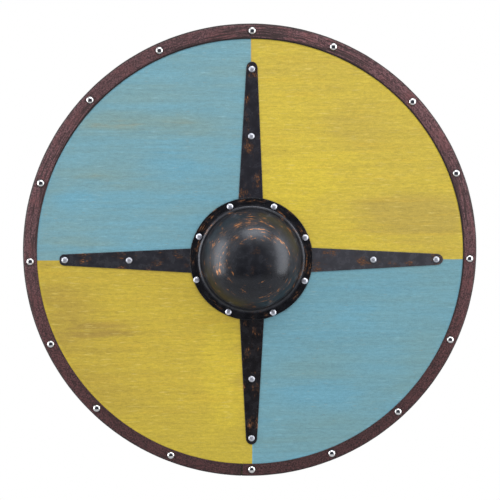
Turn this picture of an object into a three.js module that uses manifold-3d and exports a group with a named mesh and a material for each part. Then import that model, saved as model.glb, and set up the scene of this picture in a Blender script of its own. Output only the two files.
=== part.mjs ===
// Round centre-grip shield of the Viking kind: a painted plywood disc with a leather edging, a domed
// steel boss over the hand hole, four tapered steel arms and a wooden grip, all riveted together.
// Millimetres. The shield stands upright and faces -Y, with +Z up and +X to the viewer's right.
// The origin is the middle of the hand grip, on the axis of the boss.
import * as THREE from 'three';
import { mergeVertices, toCreasedNormals } from 'three/addons/utils/BufferGeometryUtils.js';
import Module from 'manifold-3d';

const wasm = await Module();
wasm.setup();

// Board
const shieldDiameter = 610;
const boardThickness = 12;
const boardRise = 8.5; // the middle of the disc lies this far above the boss
const handHoleDiameter = 120;

// Clearances
const fitGap = 0.3; // round a shank in its hole, and between leather and what it wraps
const overrun = 4; // how far a cutting solid runs past the face that it leaves

// Leather edging
const edgingThickness = 2;
const edgingWidth = 19;
const edgingSag = 1.6; // its inner line is cut this far below the middle of the disc
const edgingCorner = 1.5;
const edgingSeamGap = 0.8;
const edgingSeamDegrees = -92.5;

// Rivets through the edging
const rimRivetCount = 16;
const rimRivetInset = 9.8;
const rimRivetHeadDiameter = 10.2;
const rimRivetHeadHeight = 3.4;
const rimRivetShankDiameter = 3.2;
const rimRivetTailDiameter = 6;
const rimRivetTailHeight = 1.2;

// How far each rim rivet stands anticlockwise of its even place, clockwise from the top
const rimRivetDriftDegrees = 1;
const rimRivetDriftShares = [
  -0.2, 1.4, -0.7, 0.1, -0.1, 0.2, -1.3, -0.1, 0.1, 0.2, -1.1, 0.3, 0.4, 2.4, 0.2, 1.2,
];

// Boss
const domeDiameter = 133;
const domeHeight = 53;
const bossSheet = 1.5;
const bossFillet = 3;
const flangeWidth = 13.2;
const flangeEdgeRound = 0.5;

// Rivets through the flange of the boss
const bossRivetCount = 8;
const bossRivetInset = 5.4;
const bossRivetHeadDiameter = 8.6;
const bossRivetHeadHeight = 2.4;
const bossRivetShankDiameter = 3.6;
const bossRivetTailDiameter = 6;
const bossRivetTailHeight = 1.2;

// How far each boss rivet stands anticlockwise and outward of its even place, clockwise from the top
const bossRivetTurnDegrees = 1;
const bossRivetTurnShares = [-0.7, -0.7, 0, -0.4, -1.1, -2.1, -1.1, -0.5];
const bossRivetDrift = 1;
const bossRivetDriftShares = [-0.8, 0.5, 0.2, 0.6, 0.2, 1.3, -0.9, -1.1];

// Steel arms
const armSheet = 1.5;
const armRootWidth = 32.6; // where the arm leaves the flange
const armTipWidth = 15.2; // at the outer rivet
const armRootTuck = 5; // from the hand hole to the hidden end of the arm
const armTipGap = 28; // from the tip to the inner line of the edging
const armTipMargin = 9; // from the outer rivet to the tip
const armInnerRivetDrift = 2; // from midway along the bare arm towards the boss
const armSideDrift = 1;
const armLeanDegrees = 0.5;

// The four arms were cut and set by eye, so each has its own shares of these sizes
const armShares = [
  { name: 'top', quarter: 1, tipGap: 1.07, tipMargin: 1.08, rivetDrift: 1.8, side: 1.5, lean: -1 },
  { name: 'right', quarter: 0, tipGap: 0.96, tipMargin: 1.04, rivetDrift: 0.9, side: -1.5, lean: 0 },
  { name: 'bottom', quarter: 3, tipGap: 0.95, tipMargin: 0.97, rivetDrift: 0.3, side: 0.9, lean: -0.3 },
  { name: 'left', quarter: 2, tipGap: 1.05, tipMargin: 0.82, rivetDrift: 1.2, side: 2.6, lean: -1.1 },
];

// Rivets through the arms
const armRivetHeadDiameter = 9.2;
const armRivetHeadHeight = 2.6;
const armRivetShankDiameter = 3.6;
const armRivetTailDiameter = 6;
const armRivetTailHeight = 1.2;

// Washers under the tails of the boss and arm rivets
const washerDiameter = 12;
const washerThickness = 1;

// Hand grip: a carved oval between two flat lands that lie on the back of the board
const gripDepth = 26;
const gripBreadth = 30;
const gripLetIn = 4; // how far the oval stands into the hand hole
const landThickness = 14;
const landRootWidth = 36;
const landTipWidth = 26;
const landTipMargin = 13; // from the outer rivet to the end of the land
const shoulderLength = 14; // from the oval to the full section of the land
const shoulderInset = 6; // from the hand hole to the front shoulder
const tailRecessDepth = 3.5;
const tailRecessGap = 2; // round a washer in its recess

// Leather wrap on the grip
const wrapThickness = 1.5;
const wrapEndMargin = 4; // bare wood between the wrap and the shoulder

// Faceting: how many steps a full turn has, and how many a quarter of an arc has
const rimSteps = 72;
const holeRimSteps = 48;
const bossSteps = 40;
const rivetSteps = 12;
const gripSteps = 20;
const domeArcSteps = 7;
const filletArcSteps = 3;
const headArcSteps = 3;
const tailArcSteps = 2;
const cornerArcSteps = 2;
const tipArcSteps = 4;
const creaseRadians = Math.PI / 6;

// Planes, from the viewer's side to the back
const boardBackY = gripLetIn - gripDepth / 2;
const boardFrontY = boardBackY - boardThickness;
const armFrontY = boardFrontY - armSheet;
const flangeFrontY = armFrontY - bossSheet;
const edgingFrontY = boardFrontY - edgingThickness;
const edgingBackY = boardBackY + edgingThickness;
const landBackY = boardBackY + landThickness;
const recessFloorY = landBackY - tailRecessDepth;

// Radii
const rimRadius = shieldDiameter / 2;
const boardRadius = rimRadius - edgingThickness - fitGap;
const edgingInnerRadius = rimRadius - edgingWidth;
const edgingInnerRise = boardRise - edgingSag;
const rimRivetRadius = rimRadius - rimRivetInset;
const handHoleRadius = handHoleDiameter / 2;
const domeRadius = domeDiameter / 2;
const flangeRadius = domeRadius + bossFillet + flangeWidth;
const bossRivetRadius = flangeRadius - bossRivetInset;

const steelPaint = { color: 0x26262b, roughness: 0.42, metalness: 0.75 };
const materials = {
  board: new THREE.MeshStandardMaterial({ color: 0xc9b34e, roughness: 0.6, metalness: 0 }),
  leather: new THREE.MeshStandardMaterial({ color: 0x67494e, roughness: 0.65, metalness: 0 }),
  bossSteel: new THREE.MeshStandardMaterial(steelPaint),
  armSteel: new THREE.MeshStandardMaterial(steelPaint),
  chrome: new THREE.MeshStandardMaterial({ color: 0xe8e8ea, roughness: 0.08, metalness: 1 }),
  aluminium: new THREE.MeshStandardMaterial({ color: 0xd5d6da, roughness: 0.3, metalness: 1 }),
  zinc: new THREE.MeshStandardMaterial({ color: 0x9a9da1, roughness: 0.45, metalness: 1 }),
  gripWood: new THREE.MeshStandardMaterial({ color: 0x8a6238, roughness: 0.6, metalness: 0 }),
  wrapLeather: new THREE.MeshStandardMaterial({ color: 0x3d2a22, roughness: 0.7, metalness: 0 }),
};

// Solids and geometry

function solidFrom(geometry) {
  const bare = geometry.clone();
  bare.deleteAttribute('normal');
  bare.deleteAttribute('uv');
  const merged = mergeVertices(bare);
  const corners = merged.index.array;
  const triangles = [];
  for (let i = 0; i < corners.length; i += 3) {
    const [a, b, c] = [corners[i], corners[i + 1], corners[i + 2]];
    if (a !== b && b !== c && c !== a) triangles.push(a, b, c);
  }
  return new wasm.Manifold(new wasm.Mesh({
    numProp: 3,
    vertProperties: new Float32Array(merged.attributes.position.array),
    triVerts: new Uint32Array(triangles),
  }));
}

function geometryFrom(solid) {
  const { vertProperties, triVerts } = solid.getMesh();
  const geometry = new THREE.BufferGeometry();
  geometry.setAttribute('position', new THREE.BufferAttribute(vertProperties, 3));
  geometry.setIndex(new THREE.BufferAttribute(triVerts, 1));
  return toCreasedNormals(geometry, creaseRadians);
}

// A lathe profile lists radius and y. It runs from the front to the back along the outside.
function turned(profile, steps) {
  const points = profile.map(([radius, y]) => new THREE.Vector2(radius, y));
  return solidFrom(new THREE.LatheGeometry(points, steps));
}

// An outline is drawn in x and z, and the plate grows forward from its back face
const drawingToFront = new THREE.Matrix4().set(1, 0, 0, 0, 0, 0, -1, 0, 0, 1, 0, 0, 0, 0, 0, 1);

function plate(outline, holes, backY, thickness) {
  const shape = new THREE.Shape(outline);
  shape.holes = holes.map((hole) => new THREE.Path(hole));
  const geometry = new THREE.ExtrudeGeometry(shape, { depth: thickness, bevelEnabled: false });
  geometry.applyMatrix4(drawingToFront);
  geometry.translate(0, backY, 0);
  return solidFrom(geometry);
}

function circle({ x, z }, radius, steps) {
  return Array.from({ length: steps }, (_, i) => {
    const angle = (2 * Math.PI * i) / steps;
    return new THREE.Vector2(x + radius * Math.cos(angle), z + radius * Math.sin(angle));
  });
}

// A quarter of an ellipse, from its first axis to its second
function quarterArc(steps, along) {
  return Array.from({ length: steps + 1 }, (_, i) => {
    const angle = (Math.PI / 2) * (i / steps);
    return along(Math.cos(angle), Math.sin(angle));
  });
}

function borer({ x, z }, radius, frontY, backY, steps = rivetSteps) {
  const geometry = new THREE.CylinderGeometry(radius, radius, backY - frontY, steps);
  geometry.translate(x, (frontY + backY) / 2, z);
  return solidFrom(geometry);
}

function cutAll(solid, cutters) {
  return cutters.reduce((rest, cutter) => rest.subtract(cutter), solid);
}

const shield = new THREE.Group();

function addPiece(name, geometry, material, parent = shield) {
  const mesh = new THREE.Mesh(geometry, material);
  mesh.name = name;
  parent.add(mesh);
  return mesh;
}

// Places

const toRadians = THREE.MathUtils.degToRad;
const discMiddle = { x: 0, z: boardRise };
const hub = { x: 0, z: 0 };

// Rim rivets lie on rays from the boss, where these meet a circle round the middle of the disc
function rimRivetPlace(index) {
  const drift = rimRivetDriftDegrees * rimRivetDriftShares[index];
  const angle = toRadians(90 - (360 * index) / rimRivetCount + drift);
  const lift = boardRise * Math.sin(angle);
  const reach = lift + Math.sqrt(rimRivetRadius ** 2 - boardRise ** 2 + lift ** 2);
  return { x: reach * Math.cos(angle), z: reach * Math.sin(angle) };
}

function bossRivetPlace(index) {
  const turn = bossRivetTurnDegrees * bossRivetTurnShares[index];
  const angle = toRadians(90 - (360 * (index + 0.5)) / bossRivetCount + turn);
  const radius = bossRivetRadius + bossRivetDrift * bossRivetDriftShares[index];
  return { x: radius * Math.cos(angle), z: radius * Math.sin(angle) };
}

function makeArm(shares) {
  const angle = toRadians(90 * shares.quarter + armLeanDegrees * shares.lean);
  const side = armSideDrift * shares.side;
  const lift = edgingInnerRise * Math.sin(angle);
  const edge = lift + Math.sqrt(edgingInnerRadius ** 2 - edgingInnerRise ** 2 + lift ** 2);
  const tip = edge - armTipGap * shares.tipGap;
  const outer = tip - armTipMargin * shares.tipMargin;
  const inner = (flangeRadius + outer) / 2 - armInnerRivetDrift * shares.rivetDrift;
  return { name: shares.name, angle, side, tip, outer, inner, vertical: shares.quarter % 2 === 1 };
}

function armPlace(arm, distance) {
  return {
    x: distance * Math.cos(arm.angle) - arm.side * Math.sin(arm.angle),
    z: distance * Math.sin(arm.angle) + arm.side * Math.cos(arm.angle),
  };
}

const arms = armShares.map(makeArm);
const rimRivets = rimRivetDriftShares.map((_, index) => rimRivetPlace(index));
const bossRivets = bossRivetTurnShares.map((_, index) => bossRivetPlace(index));
const armRivets = arms.flatMap((arm) => [arm.inner, arm.outer].map((reach) => armPlace(arm, reach)));
const gripRivets = arms
  .filter((arm) => arm.vertical)
  .flatMap((arm) => [arm.inner, arm.outer].map((reach) => armPlace(arm, reach)));

const rimHoleRadius = rimRivetShankDiameter / 2 + fitGap;
const bossHoleRadius = bossRivetShankDiameter / 2 + fitGap;
const armHoleRadius = armRivetShankDiameter / 2 + fitGap;

// Plywood disc, with its hand hole and a hole for each rivet
function makeBoard() {
  const holes = [
    circle(hub, handHoleRadius, holeRimSteps),
    ...rimRivets.map((place) => circle(place, rimHoleRadius, rivetSteps)),
    ...bossRivets.map((place) => circle(place, bossHoleRadius, rivetSteps)),
    ...armRivets.map((place) => circle(place, armHoleRadius, rivetSteps)),
  ];
  return plate(circle(discMiddle, boardRadius, rimSteps), holes, boardBackY, boardThickness);
}

// Leather strip folded over the edge of the disc, with its two ends butted at the seam
function makeEdging() {
  const blankRadius = edgingInnerRadius - edgingSag - fitGap;
  const coreRadius = boardRadius + fitGap;
  const arcMiddle = rimRadius - edgingCorner;
  const blank = turned([
    [blankRadius, edgingFrontY],
    ...quarterArc(cornerArcSteps, (c, s) => [
      arcMiddle + edgingCorner * s,
      edgingFrontY + edgingCorner * (1 - c),
    ]),
    ...quarterArc(cornerArcSteps, (c, s) => [
      arcMiddle + edgingCorner * c,
      edgingBackY - edgingCorner * (1 - s),
    ]),
    [blankRadius, edgingBackY],
    [blankRadius, boardBackY],
    [coreRadius, boardBackY],
    [coreRadius, boardFrontY],
    [blankRadius, boardFrontY],
    [blankRadius, edgingFrontY],
  ], rimSteps).translate([0, 0, boardRise]);

  const frontY = edgingFrontY - overrun;
  const backY = edgingBackY + overrun;
  const innerMiddle = { x: 0, z: edgingInnerRise };
  const seamBox = new THREE.BoxGeometry(rimRadius, backY - frontY, edgingSeamGap);
  seamBox.translate(rimRadius, (frontY + backY) / 2, 0);
  seamBox.rotateY(-toRadians(edgingSeamDegrees));
  seamBox.translate(0, 0, boardRise);
  return cutAll(blank, [
    borer(innerMiddle, edgingInnerRadius, frontY, backY, rimSteps),
    solidFrom(seamBox),
    ...rimRivets.map((place) => borer(place, rimHoleRadius, frontY, backY)),
  ]);
}

// Domed sheet with a fillet and a flat flange
function makeBoss() {
  const baseY = flangeFrontY - bossFillet;
  const filletMiddle = domeRadius + bossFillet;
  const innerRadius = domeRadius - bossSheet;
  const dome = (radius, height) => quarterArc(domeArcSteps, (c, s) => [radius * s, baseY - height * c]);
  const fillet = (radius) => quarterArc(filletArcSteps, (c, s) => [
    filletMiddle - radius * c,
    baseY + radius * s,
  ]);
  const outside = [...dome(domeRadius, domeHeight), ...fillet(bossFillet).slice(1)];
  const inside = [...dome(innerRadius, domeHeight - bossSheet), ...fillet(bossFillet + bossSheet).slice(1)];
  const shell = turned([
    ...outside,
    [flangeRadius - flangeEdgeRound, flangeFrontY],
    [flangeRadius, flangeFrontY + flangeEdgeRound],
    [flangeRadius, armFrontY],
    ...inside.reverse(),
  ], bossSteps);
  const holes = bossRivets.map((place) => (
    borer(place, bossHoleRadius, flangeFrontY - bossSheet, armFrontY + bossSheet)
  ));
  return cutAll(shell, holes);
}

// Tapered strip along +X, from under the flange to a rounded tip
function makeArmStrip(arm) {
  const root = handHoleRadius + armRootTuck;
  const taper = (armRootWidth - armTipWidth) / (arm.outer - flangeRadius);
  const halfWidth = (reach) => (armTipWidth + taper * (arm.outer - reach)) / 2;
  const tipLength = arm.tip - arm.outer;
  const tipHalf = halfWidth(arm.outer);
  const tipArc = (side) => quarterArc(tipArcSteps, (c, s) => (
    new THREE.Vector2(arm.outer + tipLength * c, side * tipHalf * s)
  ));
  const outline = [
    new THREE.Vector2(root, -halfWidth(root)),
    ...tipArc(-1).reverse(),
    ...tipArc(1).slice(1),
    new THREE.Vector2(root, halfWidth(root)),
  ];
  const holes = [arm.inner, arm.outer].map((x) => circle({ x, z: 0 }, armHoleRadius, rivetSteps));
  return plate(outline, holes, boardFrontY, armSheet);
}

// Rivet along Y: a domed head on the front face, and a smaller formed tail on the back one
function makeRivet({ head, headHeight, shank, tail, tailHeight }, frontY, backY) {
  return turned([
    ...quarterArc(headArcSteps, (c, s) => [(head / 2) * s, frontY - headHeight * c]),
    [shank / 2, frontY],
    [shank / 2, backY],
    ...quarterArc(tailArcSteps, (c, s) => [(tail / 2) * c, backY + tailHeight * s]),
  ], rivetSteps);
}

function makeWasher(holeRadius, seatY) {
  const backY = seatY + washerThickness;
  return turned([
    [washerDiameter / 2, seatY],
    [washerDiameter / 2, backY],
    [holeRadius, backY],
    [holeRadius, seatY],
    [washerDiameter / 2, seatY],
  ], rivetSteps);
}

// Grip: its side view, its front view and a flared oval, with only what lies in all three left
const handHoldHalf = handHoleRadius - shoulderInset - shoulderLength;

function gripEnd(direction) {
  const reaches = gripRivets.map((place) => direction * place.z);
  return direction * (Math.max(...reaches) + landTipMargin);
}

// This drawing's first axis points down, and its second one to the back
function gripSideView() {
  const top = gripEnd(1);
  const bottom = gripEnd(-1);
  const front = -gripDepth / 2 - fitGap;
  const back = gripDepth / 2 + fitGap;
  const shoulder = handHoldHalf + shoulderLength;
  const shape = new THREE.Shape([
    new THREE.Vector2(-top, boardBackY),
    new THREE.Vector2(-shoulder, boardBackY),
    new THREE.Vector2(-handHoldHalf, front),
    new THREE.Vector2(handHoldHalf, front),
    new THREE.Vector2(shoulder, boardBackY),
    new THREE.Vector2(-bottom, boardBackY),
    new THREE.Vector2(-bottom, landBackY),
    new THREE.Vector2(shoulder + shoulderLength, landBackY),
    new THREE.Vector2(handHoldHalf, back),
    new THREE.Vector2(-handHoldHalf, back),
    new THREE.Vector2(-shoulder - shoulderLength, landBackY),
    new THREE.Vector2(-top, landBackY),
  ]);
  const depth = landRootWidth + 2 * overrun;
  const geometry = new THREE.ExtrudeGeometry(shape, { depth, bevelEnabled: false });
  geometry.translate(0, 0, -depth / 2);
  geometry.rotateY(Math.PI / 2);
  return solidFrom(geometry);
}

function gripFrontView() {
  const shoulder = handHoldHalf + shoulderLength;
  const endArc = (direction) => {
    const end = gripEnd(direction);
    const half = landTipWidth / 2;
    return [-1, 1].flatMap((side) => {
      const arc = quarterArc(tipArcSteps, (c, s) => (
        new THREE.Vector2(side * half * c, end - direction * half * (1 - s))
      ));
      return side < 0 ? arc : arc.reverse().slice(1);
    });
  };
  const outline = [
    ...endArc(1).reverse(),
    new THREE.Vector2(-landRootWidth / 2, shoulder),
    new THREE.Vector2(-landRootWidth / 2, -shoulder),
    ...endArc(-1),
    new THREE.Vector2(landRootWidth / 2, -shoulder),
    new THREE.Vector2(landRootWidth / 2, shoulder),
  ];
  const backY = gripDepth / 2 + overrun;
  return plate(outline, [], backY, gripDepth + 2 * overrun);
}

function ovalAlongZ(profile) {
  const points = profile.map(([radius, z]) => new THREE.Vector2(radius, z));
  const geometry = new THREE.LatheGeometry(points, gripSteps);
  geometry.rotateX(Math.PI / 2);
  geometry.scale(gripBreadth / gripDepth, 1, 1);
  return solidFrom(geometry);
}

// The oval flares past the lands, so it shapes only the hand hold and the shoulders
function makeGrip() {
  const radius = gripDepth / 2;
  const flare = landRootWidth + landThickness;
  const shoulder = handHoldHalf + shoulderLength;
  const far = Math.max(gripEnd(1), -gripEnd(-1)) + overrun;
  const oval = ovalAlongZ([
    [0, -far],
    [flare, -far],
    [flare, -shoulder - 2 * shoulderLength],
    [radius + gripLetIn, -shoulder],
    [radius, -handHoldHalf],
    [radius, handHoldHalf],
    [radius + gripLetIn, shoulder],
    [flare, shoulder + 2 * shoulderLength],
    [flare, far],
    [0, far],
  ]);
  const recessRadius = washerDiameter / 2 + tailRecessGap;
  const blank = gripSideView().intersect(gripFrontView()).intersect(oval);
  return cutAll(blank, gripRivets.flatMap((place) => [
    borer(place, armHoleRadius, boardBackY - overrun, landBackY + overrun),
    borer(place, recessRadius, recessFloorY, landBackY + overrun),
  ]));
}

function makeWrap() {
  const inner = gripDepth / 2 + fitGap;
  const outer = inner + wrapThickness;
  const end = handHoldHalf - wrapEndMargin;
  return ovalAlongZ([[outer, -end], [outer, end], [inner, end], [inner, -end], [outer, -end]]);
}

// Assembly

const rimRivetSizes = {
  head: rimRivetHeadDiameter,
  headHeight: rimRivetHeadHeight,
  shank: rimRivetShankDiameter,
  tail: rimRivetTailDiameter,
  tailHeight: rimRivetTailHeight,
};
const bossRivetSizes = {
  head: bossRivetHeadDiameter,
  headHeight: bossRivetHeadHeight,
  shank: bossRivetShankDiameter,
  tail: bossRivetTailDiameter,
  tailHeight: bossRivetTailHeight,
};
const armRivetSizes = {
  head: armRivetHeadDiameter,
  headHeight: armRivetHeadHeight,
  shank: armRivetShankDiameter,
  tail: armRivetTailDiameter,
  tailHeight: armRivetTailHeight,
};

addPiece('board', geometryFrom(makeBoard()), materials.board);
addPiece('rim_edging', geometryFrom(makeEdging()), materials.leather);
addPiece('boss', geometryFrom(makeBoss()), materials.bossSteel);
addPiece('hand_grip', geometryFrom(makeGrip()), materials.gripWood);
addPiece('grip_wrap', geometryFrom(makeWrap()), materials.wrapLeather);

const rimRivetGeometry = geometryFrom(makeRivet(rimRivetSizes, edgingFrontY, edgingBackY));
rimRivets.forEach(({ x, z }, index) => {
  addPiece(`rim_rivet_${index + 1}`, rimRivetGeometry, materials.chrome).position.set(x, 0, z);
});

const bossTailY = boardBackY + washerThickness;
const bossRivetGeometry = geometryFrom(makeRivet(bossRivetSizes, flangeFrontY, bossTailY));
const bossWasherGeometry = geometryFrom(makeWasher(bossHoleRadius, boardBackY));
bossRivets.forEach(({ x, z }, index) => {
  addPiece(`boss_rivet_${index + 1}`, bossRivetGeometry, materials.aluminium).position.set(x, 0, z);
  addPiece(`boss_washer_${index + 1}`, bossWasherGeometry, materials.zinc).position.set(x, 0, z);
});

arms.forEach((arm) => {
  const armGroup = new THREE.Group();
  armGroup.rotation.y = -arm.angle;
  shield.add(armGroup);
  addPiece(`arm_${arm.name}`, geometryFrom(makeArmStrip(arm)), materials.armSteel, armGroup)
    .position.set(0, 0, arm.side);

  const seatY = arm.vertical ? recessFloorY : boardBackY;
  const rivetGeometry = geometryFrom(makeRivet(armRivetSizes, armFrontY, seatY + washerThickness));
  const washerGeometry = geometryFrom(makeWasher(armHoleRadius, seatY));
  [['inner', arm.inner], ['outer', arm.outer]].forEach(([place, reach]) => {
    const name = `${arm.name}_${place}`;
    addPiece(`arm_rivet_${name}`, rivetGeometry, materials.aluminium, armGroup)
      .position.set(reach, 0, arm.side);
    addPiece(`arm_washer_${name}`, washerGeometry, materials.zinc, armGroup)
      .position.set(reach, 0, arm.side);
  });
});

export default shield;
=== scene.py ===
# Round centre-grip shield: the looks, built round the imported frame. Metres, +Z up, facing -Y.
from math import copysign, cos, exp, pi, radians, sin, sqrt, tau

import bmesh
import bpy
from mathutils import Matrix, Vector, noise


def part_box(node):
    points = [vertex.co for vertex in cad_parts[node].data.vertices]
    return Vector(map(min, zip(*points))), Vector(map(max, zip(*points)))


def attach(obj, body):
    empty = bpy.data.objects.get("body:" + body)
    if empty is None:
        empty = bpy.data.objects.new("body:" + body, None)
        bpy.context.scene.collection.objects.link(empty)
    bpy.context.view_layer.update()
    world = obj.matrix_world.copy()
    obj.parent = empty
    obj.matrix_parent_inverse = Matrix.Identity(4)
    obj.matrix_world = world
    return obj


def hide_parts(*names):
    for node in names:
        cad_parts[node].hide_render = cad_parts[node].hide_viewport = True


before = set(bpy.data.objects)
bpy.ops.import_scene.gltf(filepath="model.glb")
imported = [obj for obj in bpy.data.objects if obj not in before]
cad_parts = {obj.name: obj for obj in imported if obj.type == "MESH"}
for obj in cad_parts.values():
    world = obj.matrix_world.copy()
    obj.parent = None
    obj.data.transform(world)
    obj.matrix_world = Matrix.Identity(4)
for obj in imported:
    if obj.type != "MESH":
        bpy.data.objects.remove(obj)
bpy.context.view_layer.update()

# Camera, with its angles in degrees
view_azimuth = -2.7
view_elevation = 5
view_distance = 2.0
lens_mm = 106.99
sensor_mm = 36
aim_right = -0.0015
aim_up = 0.0031

# Boxes of the CAD's main pieces
board_low, board_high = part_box("board")
edging_low, edging_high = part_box("rim_edging")
boss_low, boss_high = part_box("boss")
grip_low, grip_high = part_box("hand_grip")

# Board
board_front = board_low.y
board_back = board_high.y
board_middle = (board_front + board_back) / 2
board_radius = board_high.x
disc_rise = (board_low.z + board_high.z) / 2
hand_hole_radius = 0.060
hand_hole_chamfer = 0.0015

# Leather edging
leather_front = edging_low.y
leather_back = edging_high.y
rim_radius = edging_high.x
edging_inner_radius = 0.286
edging_inner_rise = 0.0069
edging_fold_radius = 0.004
edging_edge_round = 0.0008
edging_crown = 0.00025
edging_seam = radians(-92.5)
edging_seam_gap = 0.0003
edging_end_length = 0.0012
edging_end_dip = 0.00025
edging_end_shares = [0, 0.0002, 0.0004, 0.0007]
lining_inset = 0.0004
lining_gap = 0.0001
lump_depth = 0.00022
lumps_per_metre = 55
creep_depth = 0.00008
creeps_per_metre = 190
press_depth = 0.0003
press_radius = 0.0072

# Boss and arms
boss_sheet = 0.0015
boss_fillet = 0.003
arm_front = boss_high.y
flange_front = arm_front - boss_sheet
flange_radius = boss_high.x
flange_edge_round = 0.0006
dome_base = flange_front - boss_fillet
dome_radius = 0.0665
dome_height = dome_base - boss_low.y
flare_start = 0.0691
flare_start_sink = 0.0004
flare_end = 0.0711
flare_end_lift = 0.0002
flare_run_out = 0.0008
dome_beaten_depth = 0.00022
dome_beats_per_metre = 42
arm_root_reach = 0.065
arm_root_width = 0.0326
arm_tip_width = 0.0152
arm_edge_round = 0.0005
arm_tip_flat = 0.00002
arm_tip_powers = {"top": 2.1, "right": 2.0, "bottom": 2.0, "left": 2.3}
arm_beaten_depth = 0.00016
arm_beats_per_metre = 75
arm_plain_edge = 0.0008

# Rivets: head radius, head height, shank radius, tail radius and tail height
rim_rivet = (0.0051, 0.0034, 0.0016, 0.0030, 0.0012)
boss_rivet = (0.0043, 0.0024, 0.0018, 0.0030, 0.0012)
arm_rivet = (0.0046, 0.0026, 0.0018, 0.0030, 0.0012)
rim_rivet_count = 16
boss_rivet_count = 8
rivet_lip = 0.0003
rim_seat_sink = 0.0003
steel_seat_sink = 0.0001
washer_radius = 0.006
washer_bevel = 0.0002
hole_gap = 0.0003

# Cutting and joining
cut_overrun = 0.003
doubled_distance = 1e-6

# Hand grip and its wrap
grip_half_depth = 0.013
grip_half_breadth = 0.015
hand_hold_half = 0.040
shoulder_length = 0.014
land_back = 0.005
land_root_width = grip_high.x - grip_low.x
land_tip_width = 0.026
hold_power = 2
land_power = 11
last_turn_share = 0.9995
recess_floor = 0.0015
recess_radius = 0.008
wrap_half_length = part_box("grip_wrap")[1].z
wrap_gap = 0.0003
wrap_thickness = 0.0015
wrap_unevenness = 0.00006
wrap_turns = 5.5
lap_step_share = 0.06
lap_low_share = 0.42
lap_rise_share = 0.55
lap_fall_share = 0.55
wrap_end_share = 0.55

# Steps round turned pieces and round holes
board_steps = 240
hand_hole_steps = 160
boss_steps = 192
fastener_steps = 48
rivet_hole_steps = 20

# Where the looks change: paint
grain_wander = 0.0042
wear_radii = (0.15, 0.33)
wear_raggedness = 0.08
patch_raggedness_x = 0.04
patch_raggedness_z = 0.015
# Width of the band next to the edging where the paint is less worn and is painted lighter, as painted
# light
clean_lit_rim_band = 0.005
low_yellow = (-0.17, -0.27)
border_waver = 0.0008
border_lean_share = 0.0028
border_tilt_share = 0.0012
border_start = 0.0004
border_end = 0.0012
bare_line_place = 0.0018
bare_line_half = 0.0010
ply_thickness = 0.0024
skin_depth = 0.0002

# Where the looks change: leather
darker_leather_angle = radians(113)
low_leather = (0.05, -0.15)
streaked_leather = (-0.18, 0.10)
# Painted light on the leather: heights where it goes from dark to light, with its raggedness and lean
painted_light_heights = (-0.20, 0.22)
painted_light_raggedness = 0.12
painted_light_lean_share = 0.04
dark_corner = (0.20, 0.36)
seam_shade = (-0.020, -0.003)
seam_shade_edge = 0.0004
seam_fades = (0, -0.1)
seam_line_half = 0.0013
cut_edge_start = 0.0014
cut_edge_end = 0.0027
cut_edge_shade_fades = (-0.12, 0.10)
# Painted shade on the front of the fold round the rim
fold_shade_start = 0.0012
fold_shade_end = 0.0028
fold_shade_depths = (-0.018, -0.020)

# Where the looks change: steel
steel_sheen_tint = (0.86, 0.91, 1, 1)
plain_tip_radii = (0.010, 0.030)
mark_waver = 0.0040
dome_edge = 0.0004
flange_dark = (0.0726, 0.0738)
# Painted shade low on the dome
painted_shade_heights = (0.006, -0.022)
painted_shade_radii = (0.058, 0.044)
# Painted highlight on the flare round the dome's foot
flare_highlight_place = 0.0705
flare_highlight_half = 0.0022
flare_highlight_fades_low = (-0.045, 0.020)
flare_highlight_fades_high = (0.046, 0.066)
# Painted shade in the groove where the dome meets the flare
groove_shade_place = 0.0679
groove_shade_half = 0.0011
dull_radii = (0.045, 0.060)
dull_limit = 0.0692

# Where the looks change: rivets. The Y part of the skin's normal, with full painted edge shade and with
# none
edge_shade_slopes = (0.6, 1)

# Where the looks change: grip
hand_dark = (0.075, 0.045)
ring_bend = 0.012

# Depths of the bumps
paint_bump = 0.0004
edging_bump = 0.0005
steel_bump = 0.0002
rivet_bump = 0.0001
zinc_bump = 0.0002
wood_bump = 0.0003
wrap_bump = 0.0004


# Mesh making

def centre(node):
    low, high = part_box(node)
    return (low + high) / 2


def placed(name, data):
    """A new object in the scene."""
    thing = bpy.data.objects.new(name, data)
    bpy.context.scene.collection.objects.link(thing)
    return thing


def span(work, sections, closed, strips):
    """Joins neighbouring sections by strips of faces. A closed row joins its last one to its first."""
    rings = [[work.verts.new(point) for point in section] for section in sections]
    pairs = list(zip(rings, rings[1:]))
    if closed:
        pairs.append((rings[-1], rings[0]))
    for ring, following in pairs:
        for j in range(strips):
            k = (j + 1) % len(ring)
            work.faces.new((ring[j], ring[k], following[k], following[j]))
    return rings


def solid(name, work):
    """An object from faces that close up, with doubled points joined and normals outward."""
    bmesh.ops.remove_doubles(work, verts=work.verts, dist=doubled_distance)
    bmesh.ops.recalc_face_normals(work, faces=work.faces)
    mesh = bpy.data.meshes.new(name)
    work.to_mesh(mesh)
    work.free()
    return placed(name, mesh)


def make_piece(name, sections, closed, material, nodes, sharp_degrees=35):
    """A closed skin over a row of loops of points, as one piece that stands for some CAD nodes."""
    work = bmesh.new()
    rings = span(work, sections, closed, len(sections[0]))
    if not closed:
        work.faces.new(list(reversed(rings[0])))
        work.faces.new(rings[-1])
    piece = solid(name, work)
    piece.data.materials.append(material)
    finish_shading(piece, sharp_degrees)
    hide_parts(*nodes)
    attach(piece, "root")
    return piece


def finish_shading(piece, sharp_degrees):
    for polygon in piece.data.polygons:
        polygon.use_smooth = True
    piece.data.set_sharp_from_angle(angle=radians(sharp_degrees))


def turned_sections(profile, steps, place):
    """Sections of a profile of (radius, y) turned about a line along Y through place."""
    sections = []
    for i in range(steps):
        angle = tau * i / steps
        across, up = cos(angle), sin(angle)
        sections.append([
            Vector((place.x + radius * across, y, place.z + radius * up)) for radius, y in profile
        ])
    return sections


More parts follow.
